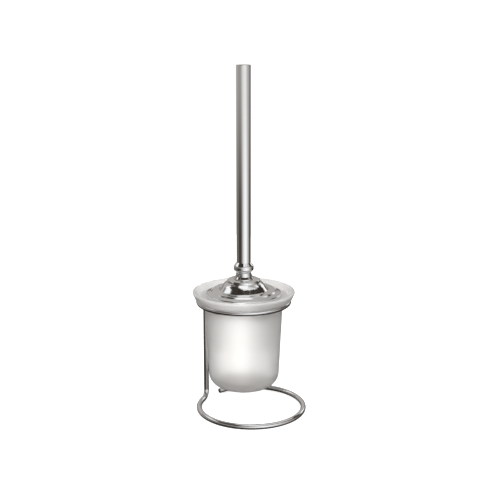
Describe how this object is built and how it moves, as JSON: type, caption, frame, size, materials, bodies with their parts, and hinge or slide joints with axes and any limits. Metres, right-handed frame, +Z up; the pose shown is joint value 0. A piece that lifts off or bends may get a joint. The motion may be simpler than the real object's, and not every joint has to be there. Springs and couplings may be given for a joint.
{
  "type": "toilet brush holder",
  "caption": "Bent-wire stand holding a flared frosted-glass cup, with a toilet brush whose stepped bell lid and long tube handle rest on the cup.",
  "frame": {"origin": "on the floor, under the common axis of the support ring, the cup and the handle", "axes": "+Z up along that axis; the stand's leg is at +Y, so +X is to the right seen from the open side"},
  "size_m": [0.1266, 0.1311, 0.3922],
  "materials": {
    "chrome_wire": "bright chrome-plated steel wire",
    "chrome_lid": "bright chrome-plated spun sheet",
    "chrome_handle": "bright chrome-plated tube and turned collar",
    "steel_stem": "plain zinc-plated steel",
    "anchor_wire": "flat staple wire",
    "frosted_glass": "satin frosted, strongly scattering",
    "white_plastic": "moulded polypropylene, satin",
    "bristle": "white nylon filament"
  },
  "bodies": {
    "stand": {"base_wire": "chrome_wire", "support_ring": "chrome_wire", "ring_weld": "chrome_wire"},
    "cup": {"glass_cup": "frosted_glass"},
    "brush": {"lid_shell": "chrome_lid", "handle_collar": "chrome_handle", "handle_tube": "chrome_handle", "handle_end_cap": "chrome_handle", "threaded_rod": "steel_stem", "lid_washer": "steel_stem", "lid_nut": "steel_stem", "stem_sleeve": "steel_stem", "head_core": "white_plastic", "tuft_row_1": "bristle", "tuft_row_2": "bristle", "tuft_row_3": "bristle", "tuft_row_4": "bristle", "tuft_row_5": "bristle", "tuft_row_6": "bristle", "tuft_row_7": "bristle", "tuft_cheek": "bristle", "tuft_nose": "bristle", "tuft_anchors": "anchor_wire"}
  },
  "joints": [
    {"name": "cup_lift", "type": "slide", "parent": "stand", "child": "cup", "axis": [0, 0, 1], "range_m": [0, 0.115]},
    {"name": "brush_lift", "type": "slide", "parent": "cup", "child": "brush", "axis": [0, 0, 1], "range_m": [0, 0.13]}
  ]
}
